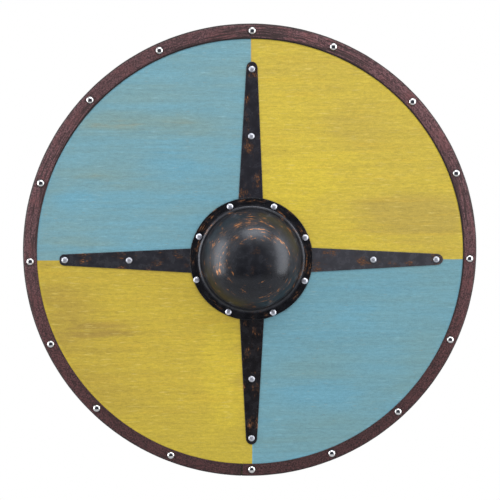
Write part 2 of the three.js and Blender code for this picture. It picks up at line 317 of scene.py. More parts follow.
def arc(middle, radii, start, end, steps):
    """Points of an elliptic arc in (radius, y), with its angles in degrees."""
    points = []
    for i in range(steps + 1):
        angle = radians(start + (end - start) * i / steps)
        points.append((middle[0] + radii[0] * cos(angle), middle[1] + radii[1] * sin(angle)))
    return points


def cut(piece, profiles, steps=32, sharp_degrees=35):
    """Cuts turned shapes, each a place and a profile that starts and ends on its axis, out of a piece."""
    work = bmesh.new()
    for place, profile in profiles:
        span(work, turned_sections(profile, steps, place), True, len(profile) - 1)
    cutter = solid("cutter", work)
    modifier = piece.modifiers.new("holes", "BOOLEAN")
    modifier.operation = "DIFFERENCE"
    modifier.solver = "EXACT"
    modifier.object = cutter
    bpy.context.view_layer.update()
    seen = piece.evaluated_get(bpy.context.evaluated_depsgraph_get())
    piece.data = bpy.data.meshes.new_from_object(seen)
    piece.modifiers.clear()
    bpy.data.objects.remove(cutter)
    finish_shading(piece, sharp_degrees)


def bore(radius, front, back):
    return [(0, front), (radius, front), (radius, back), (0, back)]


# Materials

def paint(red, green, blue):
    """A colour given as it looks on a screen, 0 to 255, in linear light."""
    def linear(value):
        share = value / 255
        return share / 12.92 if share <= 0.04045 else ((share + 0.055) / 1.055) ** 2.4
    return (linear(red), linear(green), linear(blue), 1)


class Graph:
    """The node tree of a material, or of the world."""

    def __init__(self, owner, coordinates="Object"):
        owner.use_nodes = True
        self.owner = owner
        self.tree = owner.node_tree
        self.point = self.node("TexCoord").outputs[coordinates]
        self.x, self.y, self.z = self.node("SeparateXYZ", {0: self.point}).outputs

    def feed(self, socket, value):
        if isinstance(value, bpy.types.NodeSocket):
            self.tree.links.new(value, socket)
        else:
            socket.default_value = value

    def node(self, kind, values={}, **settings):
        """A new node, with values fed to its inputs by number or name."""
        node = self.tree.nodes.new("ShaderNode" + kind)
        for name, setting in settings.items():
            setattr(node, name, setting)
        for place, value in values.items():
            self.feed(node.inputs[place], value)
        return node

    def join(self, x, y, z):
        return self.node("CombineXYZ", {0: x, 1: y, 2: z}).outputs[0]

    def math(self, operation, *values):
        return self.node("Math", dict(enumerate(values)), operation=operation).outputs[0]

    def times(self, a, b):
        return self.math("MULTIPLY", a, b)

    def over(self, a, b):
        return self.math("DIVIDE", a, b)

    def plus(self, a, b):
        return self.math("ADD", a, b)

    def less(self, a, b):
        return self.math("SUBTRACT", a, b)

    def most(self, a, b):
        return self.math("MAXIMUM", a, b)

    def length(self, x, z):
        return self.node("VectorMath", {0: self.join(x, 0, z)}, operation="LENGTH").outputs["Value"]

    def scaled(self, colour, factor):
        return self.node("VectorMath", {0: colour, "Scale": factor}, operation="SCALE").outputs[0]

    def noise(self, point, scale, detail=2, roughness=0.5):
        values = {"Vector": point, "Scale": scale, "Detail": detail, "Roughness": roughness}
        return self.node("TexNoise", values).outputs["Fac"]

    def drawn(self, per_metre, seed, detail, roughness=0.5, z=None):
        """Noise with its own count of patches in a metre along each axis. z may be another height."""
        places = (self.x, self.y, self.z if z is None else z)
        x, y, z = (self.times(place, count) for place, count in zip(places, per_metre))
        return self.noise(self.join(x, self.plus(y, seed), z), 1, detail, roughness)

    def round_streaks(self, radius, across, along, turn, per_metre, detail, roughness):
        """Noise drawn out round the middle, with its own count of streaks in a metre outward."""
        x, z = self.times(across, turn), self.times(along, turn)
        return self.noise(self.join(x, z, self.times(radius, per_metre)), 1, detail, roughness)

    def cells(self, scale, output="Distance"):
        return self.node("TexVoronoi", {"Vector": self.point, "Scale": scale}).outputs[output]

    def ramp(self, value, low, high, bottom=0, top=1):
        """Goes smoothly from bottom at low to top at high. Low may be the larger one."""
        values = dict(enumerate((value, low, high, bottom, top)))
        return self.node("MapRange", values, interpolation_type="SMOOTHSTEP").outputs[0]

    def band(self, value, middle, half_width):
        """One at middle, and none from half_width away."""
        return self.ramp(self.math("ABSOLUTE", self.less(value, middle)), half_width, 0)

    def mix(self, factor, a, b):
        return self.node("Mix", {0: factor, 6: a, 7: b}, data_type="RGBA").outputs[2]

    def rays(self, *kinds):
        """One for a ray of any of these kinds."""
        path = self.node("LightPath")
        found = 0
        for kind in kinds:
            found = self.most(found, path.outputs[f"Is {kind} Ray"])
        return found

    def show(self, factor, a, b, output):
        """Feeds a mix of two shaders to the output."""
        mix = self.node("MixShader", {0: factor, 1: a.outputs[0], 2: b.outputs[0]})
        self.feed(self.tree.nodes[output].inputs["Surface"], mix.outputs[0])

    def finish(self, colour, roughness, height, strength, distance, metallic=0, sheen=0.5):
        """Feeds the shader, with a bump from height. Sheen is the strength of plain reflections."""
        bump = self.node("Bump", {"Strength": strength, "Distance": distance, "Height": height})
        values = {
            "Base Color": colour, "Roughness": roughness, "Metallic": metallic,
            "Specular IOR Level": sheen, "Normal": bump.outputs[0],
        }
        for name, value in values.items():
            self.feed(self.tree.nodes["Principled BSDF"].inputs[name], value)
        return self.owner


def material_graph(name):
    return Graph(bpy.data.materials.new(name))


# Broad places in the paint: middle x and z, half width and half height in millimetres, and how much
# more it is worn
paint_patches = [
    (-125, 180, 110, 18, 0.5),
    (-179, 110, 50, 10, 0.4),
    (-232, 22, 50, 8, 0.4),
    (-235, 78, 30, 16, -0.4),
    (-107, 132, 35, 14, -0.3),
    (215, 56, 90, 32, 0.8),
    (148, 176, 50, 40, 0.25),
    (54, 95, 50, 34, -0.5),
    (-190, -93, 40, 10, 0.5),
    (-245, -80, 40, 55, 0.25),
    (-39, -170, 30, 90, -0.45),
    (70, -150, 70, 14, 0.35),
    (105, -240, 85, 28, 0.4),
    (230, -140, 40, 40, 0.25),
    (90, -188, 60, 20, -0.4),
    (140, -76, 30, 16, -0.4),
]


def paint_wear(g, cloud, brush, clean_and_lit_by_rim, is_blue):
    """How far the paint is worn: none where it is thick, and one or a little more where it is thin."""
    outward = g.plus(g.length(g.x, g.z), g.times(cloud, wear_raggedness))
    worn = g.ramp(outward, *wear_radii, 0.22, 0.42)
    fleck = g.plus(g.ramp(cloud, 0.34, 0.70, -0.10, 0.24), g.ramp(brush, 0.34, 0.68, -0.12, 0.14))
    worn = g.plus(worn, g.times(fleck, g.ramp(is_blue, 0, 1, 0.6, 1)))
    worn = g.less(worn, g.times(clean_and_lit_by_rim, 0.25))
    ragged_x = g.plus(g.x, g.ramp(cloud, 0, 1, -patch_raggedness_x, patch_raggedness_x))
    ragged_z = g.plus(g.z, g.ramp(brush, 0, 1, -patch_raggedness_z, patch_raggedness_z))
    for middle_x, middle_z, half_width, half_height, wear in paint_patches:
        off_x = g.over(g.less(ragged_x, middle_x / 1000), half_width / 1000)
        off_z = g.over(g.less(ragged_z, middle_z / 1000), half_height / 1000)
        worn = g.plus(worn, g.ramp(g.length(off_x, off_z), 1.35, 0.3, 0, wear))
    return g.math("MINIMUM", g.most(worn, 0), 1.2)


def blue_paint(g, grain_z, worn, right, dash):
    clean = g.mix(right, paint(111, 168, 189), paint(109, 165, 185))
    thin = g.mix(right, paint(127, 160, 160), paint(117, 157, 162))
    blue = g.mix(worn, clean, thin)
    blue = g.mix(g.ramp(worn, 0.9, 1.2, 0, 0.45), blue, paint(166, 154, 116))
    blue = g.mix(g.ramp(dash, 0.68, 0.78, 0, 0.35), blue, paint(170, 152, 112))
    scratch = g.drawn((42, 0, 560), 6, 1, z=grain_z)
    return g.mix(g.ramp(scratch, 0.62, 0.76, 0, 0.4), blue, paint(150, 194, 204))


def yellow_paint(g, grain_z, worn, right, dash):
    clean = g.mix(right, paint(209, 185, 56), paint(216, 193, 60))
    thin = g.mix(right, paint(172, 145, 60), paint(190, 166, 70))
    yellow = g.mix(worn, clean, thin)
    yellow = g.mix(g.ramp(dash, 0.66, 0.78, 0, 0.4), yellow, paint(140, 112, 48))
    amber = g.drawn((9, 0, 130), 8, 3, 0.6, grain_z)
    yellow = g.mix(g.ramp(amber, 0.50, 0.72, 0, 0.3), yellow, paint(214, 178, 52))
    pale = g.drawn((48, 0, 480), 11, 1, z=grain_z)
    yellow = g.mix(g.ramp(pale, 0.60, 0.74, 0, 0.45), yellow, paint(226, 206, 112))
    return g.mix(g.ramp(g.z, *low_yellow, 0, 0.6), yellow, paint(200, 180, 56))


def bare_wood(g, grain_z, fine):
    """Plywood, with its glue lines where the hand hole cuts it."""
    figure = g.drawn((2.5, 9, 46), 0, 3, 0.6, grain_z)
    bare = g.mix(g.ramp(figure, 0.32, 0.68), paint(204, 170, 122), paint(178, 139, 93))
    fibre = g.ramp(fine, 0.25, 0.75, -0.16, 0.16)
    bare = g.scaled(bare, g.plus(fibre, 1))
    ply = g.math("FRACT", g.over(g.less(g.y, board_front), ply_thickness))
    inside = g.band(g.y, board_middle, (board_back - board_front) / 2 - skin_depth)
    glue = g.times(g.band(ply, 0, 0.16), g.ramp(inside, 0, 0.1))
    return g.mix(glue, bare, paint(84, 58, 36))


def board_material():
    """Thin matt paint in quarters over plywood, which is bare at the back and in the hand hole."""
    g = material_graph("board_paint")
    wander = g.drawn((9, 0, 14), 0, 2)
    grain_z = g.plus(g.z, g.times(wander, grain_wander))
    fine = g.drawn((120, 90, 430), 0, 3, 0.75, grain_z)
    streak = g.drawn((12, 30, 290), 0, 4, 0.7, grain_z)
    cloud = g.drawn((7, 0, 34), 0, 4, 0.62)
    brush = g.drawn((6, 0, 85), 3, 4, 0.62, grain_z)
    dash = g.drawn((75, 0, 620), 0, 1, z=grain_z)
    speckle = g.noise(g.point, 620, 1)

    waver = g.times(g.noise(g.point, 70, 1), border_waver)
    border_x = g.plus(g.plus(g.x, g.times(g.z, border_lean_share)), waver)
    border_z = g.plus(g.plus(g.z, g.times(g.x, border_tilt_share)), waver)
    right = g.ramp(border_x, border_start, border_end)
    upper = g.ramp(border_z, -border_end, -border_start)
    is_blue = g.less(g.plus(right, upper), g.times(g.times(right, upper), 2))

    inner = g.length(g.x, g.less(g.z, edging_inner_rise))
    clean_and_lit_by_rim = g.ramp(inner, edging_inner_radius - clean_lit_rim_band, edging_inner_radius)
    worn = paint_wear(g, cloud, brush, clean_and_lit_by_rim, is_blue)
    yellow = yellow_paint(g, grain_z, worn, right, dash)
    painted = g.mix(is_blue, yellow, blue_paint(g, grain_z, worn, right, dash))
    border = g.times(g.band(border_x, bare_line_place, bare_line_half), 0.65)
    bare_line = g.mix(upper, paint(112, 178, 208), paint(206, 148, 72))
    painted = g.mix(border, painted, bare_line)
    tone = g.plus(g.ramp(fine, 0.27, 0.73, -0.09, 0.09), g.ramp(streak, 0.3, 0.7, -0.05, 0.05))
    tone = g.times(tone, g.ramp(is_blue, 0, 1, 1.3, 1))
    tone = g.plus(tone, g.ramp(speckle, 0.3, 0.7, -0.05, 0.05))
    # Painted light: the paint is made lighter next to the edging, against the shade the edging casts
    # there
    tone = g.plus(tone, g.times(clean_and_lit_by_rim, 0.08))
    painted = g.scaled(painted, g.plus(tone, 1))

    is_front = g.ramp(g.y, board_front + 2 * skin_depth, board_front + skin_depth)
    colour = g.mix(is_front, bare_wood(g, grain_z, fine), painted)
    height = g.plus(fine, g.times(streak, 0.8))
    roughness = g.ramp(fine, 0.3, 0.7, 0.54, 0.68)
    return g.finish(colour, roughness, height, 0.35, paint_bump, 0, 0.35)


def leather_seam(g, up, colour):
    """A dark line at the seam, and a shade on the strip beside it."""
    seam_across = cos(edging_seam)
    seam_along = sin(edging_seam)
    past_seam = g.less(g.times(up, seam_across), g.times(g.x, seam_along))
    below = g.ramp(up, *seam_fades)
    shade = g.times(g.ramp(past_seam, *seam_shade), g.ramp(past_seam, seam_shade_edge, 0))
    colour = g.mix(g.times(g.times(shade, below), 0.5), colour, paint(40, 28, 30))
    line = g.ramp(g.math("ABSOLUTE", past_seam), seam_line_half, seam_line_half / 2)
    return g.mix(g.times(line, below), colour, paint(14, 9, 10))


def leather_edges(g, radius, colour):
    """Dark cut edge towards the paint, partly the leather's own dark edge and partly painted shade, and a
    painted shade along the fold round the rim.
    """
    inner = g.length(g.x, g.less(g.z, edging_inner_rise))
    cut_edge = g.ramp(inner, edging_inner_radius + cut_edge_end, edging_inner_radius + cut_edge_start)
    # Painted shade: the dark cut edge, partly the leather's own, is darkest on the upper side and fades
    # out towards the bottom
    cut_edge = g.times(cut_edge, g.ramp(g.plus(g.z, g.times(g.x, 0.3)), *cut_edge_shade_fades, 0.3, 1))
    in_front = g.ramp(g.y, *fold_shade_depths)
    # Painted shade along the front of the fold round the rim
    fold = g.times(g.ramp(radius, rim_radius - fold_shade_end, rim_radius - fold_shade_start), in_front)
    return g.mix(g.times(g.most(cut_edge, fold), 0.9), colour, paint(26, 18, 20))


def edging_material():
    """Dark reddish brown leather, mottled, with dark streaks along the strip and dark cut edges. Painted
    light makes it lighter at the top and darker at the bottom, and painted shade darkens its cut edges
    and its fold.
    """
    g = material_graph("edging_leather")
    up = g.less(g.z, disc_rise)
    radius = g.length(g.x, up)
    across = g.over(g.x, radius)
    along = g.over(up, radius)
    streak = g.round_streaks(radius, across, along, 7, 520, 3, 0.65)
    grain = g.round_streaks(radius, across, along, 50, 480, 3, 0.6)
    area = g.noise(g.point, 8, 1)
    mottle = g.noise(g.point, 520, 3, 0.7)
    blotch = g.noise(g.point, 45, 3, 0.6)
    pore = g.cells(1100)

    inward = g.ramp(radius, rim_radius, edging_inner_radius, -0.04, 0.06)
    upper_right = g.ramp(g.plus(across, along), 0.5, 1.3)
    inward = g.plus(inward, g.times(upper_right, 0.05))
    streaked = g.times(g.ramp(g.plus(streak, inward), 0.49, 0.62), g.ramp(area, 0.36, 0.6, 0.25, 0.9))
    streaked = g.times(streaked, g.ramp(g.z, *streaked_leather, 0.35, 1))
    mottle = g.plus(mottle, g.times(g.times(upper_right, g.less(grain, 0.5)), -0.6))

    low = g.ramp(g.z, *low_leather)
    dark_grain = g.mix(low, paint(66, 41, 45), paint(58, 34, 37))
    light_grain = g.mix(low, paint(124, 86, 91), paint(134, 84, 87))
    colour = g.mix(g.ramp(mottle, 0.38, 0.62), dark_grain, light_grain)
    colour = g.mix(g.ramp(blotch, 0.46, 0.66, 0, 0.5), colour, paint(124, 74, 76))
    colour = g.mix(streaked, colour, paint(50, 35, 37))
    colour = g.mix(g.ramp(grain, 0.50, 0.66, 0, 0.6), colour, paint(54, 37, 40))
    # Painted light: the leather is painted lighter towards the top and darker towards the bottom
    light = g.plus(g.z, g.plus(g.times(g.x, painted_light_lean_share), g.times(area, painted_light_raggedness)))
    colour = g.scaled(colour, g.ramp(light, *painted_light_heights, 0.48, 1.18))
    # Darker round the upper left
    upper_left = g.plus(g.times(across, cos(darker_leather_angle)), g.times(along, sin(darker_leather_angle)))
    colour = g.scaled(colour, g.ramp(upper_left, 0.75, 1, 1, 0.76))
    colour = g.scaled(colour, g.ramp(g.less(g.x, g.z), *dark_corner, 1, 0.93))
    colour = leather_edges(g, radius, leather_seam(g, up, colour))
    height = g.plus(g.plus(mottle, g.times(pore, 0.5)), g.times(streaked, -0.8))
    return g.finish(colour, g.ramp(mottle, 0.3, 0.7, 0.62, 0.48), height, 0.5, edging_bump, 0, 0.3)


def rubbed_steel(g, black, grey, streak, rubbed, dullness=0):
    """Blackened satin steel, rubbed through to brown and copper in scratches where rubbed is one."""
    mottle = g.noise(g.point, 90, 3, 0.55)
    speck = g.noise(g.point, 560, 3, 0.65)
    colour = g.mix(g.ramp(mottle, 0.35, 0.7), black, grey)
    colour = g.mix(g.ramp(streak, 0.56, 0.8, 0, 0.35), colour, paint(86, 86, 92))
    wear = g.plus(g.plus(g.times(streak, 1.8), g.times(speck, 0.6)), g.times(rubbed, 0.35))
    brown = g.times(g.ramp(wear, 1.24, 1.50), g.ramp(rubbed, 0, 0.25))
    copper = g.times(g.ramp(wear, 1.44, 1.68), g.ramp(rubbed, 0.05, 0.35))
    colour = g.mix(g.times(brown, 0.65), colour, paint(92, 64, 44))
    colour = g.mix(g.times(copper, 0.85), colour, paint(190, 124, 72))
    height = g.plus(g.times(mottle, 0.4), streak)
    roughness = g.plus(g.ramp(mottle, 0.3, 0.7, 0.23, 0.29), dullness)
    g.feed(g.tree.nodes["Principled BSDF"].inputs["Specular Tint"], steel_sheen_tint)
    return g.finish(colour, roughness, height, 0.12, steel_bump, g.times(copper, 0.25), 0.40)


# Rubbed places on the boss: radius and half width in millimetres, middle angle and half length in
# degrees, how many millimetres the radius grows in a radian, and strength
boss_marks = [
    (47, 1, 32, 32, -8, 1.3),
    (44.5, 0.8, 40, 26, -8, 1),
    (44.2, 1.1, 82, 28, -2, 1.3),
    (41.5, 0.9, 66, 22, -2, 0.9),
    (37.5, 1.6, 62, 16, 0, 0.8),
    (51.5, 6.8, 104, 22, 2, 0.6),
    (50.5, 1, 100, 16, 0, 0.9),
    (53.5, 1.2, 110, 9, 0, 0.8),
    (56, 1.2, 96, 14, 0, 0.9),
    (59, 1, 90, 10, 0, 0.8),
    (40, 4.5, 130, 16, 0, 0.55),
    (52.5, 1.4, 62, 24, 0, 0.6),
    (42, 1.1, 170, 34, 7.8, 0.9),
    (45, 0.9, 160, 24, 7.8, 0.7),
    (45, 3, 196, 7, 4, 1.3),
    (49, 1.6, 197, 7, 0, 1.1),
    (32, 2, 100, 48, 0, 0.7),
    (30.5, 2, 206, 9, 0, 1.1),
    (56, 1.2, 175, 30, 0, 0.5),
    (48, 0.9, -62, 30, 0, 0.7),
    (50.5, 0.9, -48, 34, 0, 0.7),
    (54.5, 0.9, -66, 26, 0, 0.7),
    (55.5, 1, -28, 20, 0, 0.7),
    (56, 1.2, 206, 14, 0, 0.7),
    (27, 1.2, -62, 18, 0, 0.6),
    (18, 1.4, -112, 16, 0, 0.6),
    (59, 2, -10, 18, 0, 0.5),
    (77.5, 5, 141, 15, 0, 0.75),
    (73.5, 3, 167, 10, 0, 0.9),
    (78.5, 2.8, 91, 15, 0, 0.8),
    (74, 2.5, 56, 9, 0, 0.9),
    (77, 3.5, 32, 9, 0, 0.6),
    (74.5, 2.6, 1, 17, 0, 0.8),
    (76.5, 4, 232, 11, 0, 0.6),
    (76.5, 4, -39, 9, 0, 0.6),
    (70, 2.2, 142, 12, 0, 1),
]


def rubbed_marks(g, radius):
    """The marks of the table, on the outer skin of the dome and on the flange."""
    waver = g.times(g.less(g.noise(g.point, 55, 2), 0.5), mark_waver)
    rubbed = g.ramp(g.noise(g.point, 60, 2), 0.50, 0.70, 0, 0.42)
    for reach, half_width, middle, half_length, growth, strength in boss_marks:
        turn = radians(middle)
        half_turn = radians(half_length)
        ahead = g.plus(g.times(g.x, cos(turn)), g.times(g.z, sin(turn)))
        beside = g.less(g.times(g.z, cos(turn)), g.times(g.x, sin(turn)))
        angle = g.math("ARCTAN2", beside, ahead)
        off = g.plus(g.less(radius, g.times(angle, growth / 1000)), waver)
        inside = g.ramp(g.math("ABSOLUTE", angle), half_turn, half_turn / 3)
        mark = g.times(g.times(g.band(off, reach / 1000, half_width / 1000), inside), strength)
        rubbed = g.most(rubbed, mark)
    depth = g.over(g.less(g.y, dome_base), dome_height)
    swell = g.length(g.over(radius, dome_radius), depth)
    outside = g.most(g.ramp(swell, 0.982, 0.989), g.ramp(radius, dome_radius, dome_radius + dome_edge))
    return g.times(g.times(rubbed, outside), g.ramp(radius, *flange_dark, 1, 0.55))


def boss_material():
    """Rubbed steel, duller round the dome's foot, with a painted pale highlight on the flare, a painted
    shade in the groove there and a painted shade low on the dome.
    """
    g = material_graph("boss_steel")
    radius = g.length(g.x, g.z)
    streak = g.round_streaks(radius, g.over(g.x, radius), g.over(g.z, radius), 7, 720, 3, 0.6)
    smooth_middle = g.ramp(radius, *plain_tip_radii)
    streak = g.plus(g.times(g.less(streak, 0.5), smooth_middle), 0.5)
    flange = g.ramp(radius, *flange_dark)
    # Painted shade: the steel is painted darker low in the middle of the dome
    below = g.times(g.ramp(g.z, *painted_shade_heights), g.ramp(radius, *painted_shade_radii))
    # Painted highlight: a pale band on the flare, fading out at the bottom and at the very top
    flare = g.times(g.band(radius, flare_highlight_place, flare_highlight_half), g.ramp(g.z, *flare_highlight_fades_low, 0.1, 1))
    flare = g.times(flare, g.ramp(g.z, *flare_highlight_fades_high, 1, 0.2))
    # Painted shade: the steel is painted near black in the groove at the dome's foot
    groove = g.band(radius, groove_shade_place, groove_shade_half)
    black = g.mix(below, paint(32, 33, 38), paint(17, 17, 22))
    grey = g.mix(below, paint(42, 43, 49), paint(24, 25, 31))
    for place, darker, lighter in (
        (flange, paint(17, 17, 20), paint(27, 27, 31)),
        (flare, paint(40, 40, 47), paint(52, 52, 60)),
        (groove, paint(10, 10, 12), paint(14, 14, 16)),
    ):
        black = g.mix(place, black, darker)
        grey = g.mix(place, grey, lighter)
    dullness = g.times(g.ramp(radius, *dull_radii, 0, 0.16), g.ramp(radius, flare_highlight_place, dull_limit))
    return rubbed_steel(g, black, grey, streak, rubbed_marks(g, radius), dullness)


def arm_material(name, level, black, grey):
    """Rubbed steel whose scratches run along the arm."""
    g = material_graph(name)
    long_way, short_way = (g.x, g.z) if level else (g.z, g.x)
    streak = g.noise(g.join(g.times(long_way, 170), 0, g.times(short_way, 720)), 1, 4, 0.7)
    area = g.noise(g.join(g.times(long_way, 38), 5, g.times(short_way, 75)), 1, 2)
    return rubbed_steel(g, black, grey, streak, g.ramp(area, 0.5, 0.75, 0, 0.7))


def metal_material(name, colour, dull_colour, roughness, rougher, scale, metallic=1, edge_light=1):
    """Bare or plated metal with fine wear. edge_light is how light it stays at a head's edge, which is
    darkened there as painted shade.
    """
    g = material_graph(name)
    wear = g.noise(g.point, scale, 3, 0.6)
    spot = g.noise(g.point, scale * 5, 2)
    tint = g.mix(g.ramp(wear, 0.4, 0.75), colour, dull_colour)
    if edge_light < 1:
        # Painted shade: the head is painted darker where its skin turns away from the front
        normal = g.node("NewGeometry").outputs["Normal"]
        slope = g.math("ABSOLUTE", g.node("SeparateXYZ", {0: normal}).outputs[1])
        tint = g.scaled(tint, g.ramp(slope, *edge_shade_slopes, edge_light, 1))
    return g.finish(tint, g.ramp(wear, 0.35, 0.75, roughness, rougher), spot, 0.08, rivet_bump, metallic)


def zinc_material():
    g = material_graph("washer_zinc")
    wear = g.noise(g.point, 300, 3, 0.6)
    tint = g.mix(g.ramp(wear, 0.35, 0.7), paint(176, 180, 182), paint(140, 143, 146))
    colour = g.mix(0.12, tint, g.cells(420, "Color"))
    return g.finish(colour, g.ramp(wear, 0.3, 0.7, 0.34, 0.5), wear, 0.2, zinc_bump, 1)


def grip_material():
    """Oiled hardwood, its grain along the grip, darker where the hand holds it."""
    g = material_graph("grip_wood")
    bend = g.times(g.drawn((30, 30, 5), 0, 2), ring_bend)
    ring_x = g.plus(g.x, bend)
    ring = g.noise(g.join(g.times(ring_x, 420), g.times(g.y, 160), g.times(g.z, 5)), 1, 3, 0.6)
    pore = g.drawn((1500, 1500, 60), 0, 2)
    colour = g.mix(g.ramp(ring, 0.35, 0.65), paint(152, 108, 66), paint(112, 74, 42))
    colour = g.mix(g.ramp(pore, 0.6, 0.75, 0, 0.5), colour, paint(70, 44, 26))
    worn = g.ramp(g.math("ABSOLUTE", g.z), *hand_dark, 0, 0.35)
    colour = g.mix(worn, colour, paint(90, 58, 34))
    return g.finish(colour, g.ramp(ring, 0.3, 0.7, 0.42, 0.56), g.plus(ring, pore), 0.3, wood_bump)


def wrap_material():
    """Brown leather, rubbed in places, with a dark line at each lap of the strip."""
    g = material_graph("wrap_leather")
    mottle = g.noise(g.point, 240, 4, 0.6)
    pore = g.cells(1300)
    colour = g.mix(g.ramp(mottle, 0.35, 0.65), paint(62, 42, 32), paint(92, 64, 48))
    rubbed = g.ramp(g.noise(g.point, 60, 2), 0.5, 0.7, 0, 0.5)
    colour = g.mix(rubbed, colour, paint(112, 80, 58))
    angle = g.math("ARCTAN2", g.over(g.y, grip_half_depth), g.over(g.x, grip_half_breadth))
    climb = g.times(g.plus(g.z, wrap_half_length), wrap_turns / (2 * wrap_half_length))
    lap = g.math("FRACT", g.less(g.plus(climb, 1), g.over(angle, tau)))
    edge = g.most(g.ramp(lap, 0.08, 0.01), g.ramp(lap, 0.97, 1))
    colour = g.mix(g.times(edge, 0.8), colour, paint(30, 19, 14))
    return g.finish(colour, g.ramp(mottle, 0.3, 0.7, 0.6, 0.44), g.plus(mottle, pore), 0.4, wrap_bump)


# Pieces

origin = Vector((0, 0, 0))
disc_middle = Vector((0, 0, disc_rise))
rim_places = [centre(f"rim_rivet_{i + 1}") for i in range(rim_rivet_count)]
boss_places = [centre(f"boss_rivet_{i + 1}") for i in range(boss_rivet_count)]
# Painted light: lit and shaded copies of one steel, the right arm lightest and the bottom arm darkest
arm_lit_and_shaded_tones = {
    "top": (paint(38, 37, 43), paint(49, 48, 55)),
    "right": (paint(59, 59, 65), paint(71, 71, 78)),
    "bottom": (paint(25, 23, 25), paint(37, 35, 38)),
    "left": (paint(40, 40, 46), paint(54, 54, 60)),
}
arm_names = list(arm_lit_and_shaded_tones)
arm_places = {
    name: [centre(f"arm_rivet_{name}_{end}") for end in ("inner", "outer")] for name in arm_names
}


def make_board():
    profile = [(0, board_front), (board_radius, board_front), (board_radius, board_back), (0, board_back)]
    board = make_piece(
        "painted_board", turned_sections(profile, board_steps, disc_middle), True,
        board_material(), ["board"],
    )
    front = board_front - cut_overrun
    back = board_back + cut_overrun
    hand_hole = [
        (0, front), (hand_hole_radius, front), (hand_hole_radius, board_back - hand_hole_chamfer),
        (hand_hole_radius + hand_hole_chamfer + cut_overrun, back), (0, back),
    ]
    cut(board, [(origin, hand_hole)], hand_hole_steps)
    shanks = [(place, rim_rivet[2]) for place in rim_places]
    shanks += [(place, boss_rivet[2]) for place in boss_places]
    shanks += [(place, arm_rivet[2]) for name in arm_names for place in arm_places[name]]
    cut(board, [(place, bore(radius + hole_gap, front, back)) for place, radius in shanks])


def edging_skin(inner):
    """The outside of the folded strip as (radius, y), from its front cut edge round to its back one."""
    fold_middle = rim_radius - edging_fold_radius
    edge_middle = inner + edging_edge_round
    edge_radii = (edging_edge_round, edging_edge_round)
    fold_radii = (edging_fold_radius, edging_fold_radius)
    skin = arc((edge_middle, leather_front + edging_crown + edging_edge_round), edge_radii, -180, -90, 3)
    front_steps = 14
    for i in range(2, front_steps + 1):
        share = i / front_steps
        y = leather_front + edging_crown * (2 * share - 1) ** 4
        skin.append((inner + (fold_middle - inner) * share, y))
    skin += arc((fold_middle, leather_front + edging_fold_radius), fold_radii, -90, 0, 6)[1:]
    skin += arc((fold_middle, leather_back - edging_fold_radius), fold_radii, 0, 90, 6)
    back_steps = 8
    for i in range(1, back_steps):
        skin.append((fold_middle + (edge_middle - fold_middle) * i / back_steps, leather_back))
    skin += arc((edge_middle, leather_back - edging_edge_round), edge_radii, 90, 180, 3)
    return skin


def edging_section(angle, end_share):
    """The folded strip's section at one angle. end_share goes from one at a butted end to none."""
    sink = edging_inner_rise - disc_rise
    outward = Vector((cos(angle), 0, sin(angle)))
    lift = sink * sin(angle)
    inner = lift + sqrt(edging_inner_radius ** 2 - sink ** 2 + lift ** 2)
    rivets = near_rivets(angle)
    points = []
    for radius, y in edging_skin(inner):
        point = disc_middle + outward * radius + Vector((0, y, 0))
        lump = 0.5 + 0.5 * noise.noise(point * lumps_per_metre)
        creep = 0.5 + 0.5 * noise.noise(point * creeps_per_metre)
        depth = lump_depth * lump + creep_depth * creep + edging_end_dip * end_share ** 2
        if y < board_middle:
            near = min(Vector((point.x - place.x, 0, point.z - place.z)).length for place in rivets)
            depth += press_depth * exp(-((near / press_radius) ** 4))
        side = 1 if y < board_middle else -1
        flat_share = min(1, max(0, (rim_radius - radius) / edging_fold_radius))
        point += Vector((0, side * depth * flat_share, 0)) - outward * depth * (1 - flat_share)
        points.append(point)
    lining_inner = inner + lining_inset
    lining_outer = board_radius + lining_gap
    for radius, y in (
        (lining_inner, board_back), (lining_outer, board_back),
        (lining_outer, board_front), (lining_inner, board_front),
    ):
        points.append(disc_middle + outward * radius + Vector((0, y, 0)))
    return points


def near_rivets(angle):
    """The rim rivets that lie near this angle of the strip."""
    index = round((pi / 2 - angle) / tau * rim_rivet_count) % rim_rivet_count
    return [rim_places[index], rim_places[(index + 1) % rim_rivet_count], rim_places[index - 1]]


def make_edging():
    steps = 720
    half_gap = edging_seam_gap / 2 / rim_radius
    run = tau - 2 * half_gap
    end_length = edging_end_length / rim_radius
    shares = edging_end_shares + [i / steps for i in range(1, steps)]
    shares += [1 - share for share in reversed(edging_end_shares)]
    sections = []
    for share in shares:
        from_end = min(share, 1 - share) * run
        end_share = max(0, 1 - from_end / end_length)
        sections.append(edging_section(edging_seam + half_gap + run * share, end_share))
    edging = make_piece(
        "leather_edging", sections, False, edging_material(), ["rim_edging"], 50,
    )
    hole = bore(rim_rivet[2] + hole_gap, leather_front - cut_overrun, leather_back + cut_overrun)
    cut(edging, [(place, hole) for place in rim_places], rivet_hole_steps, 50)


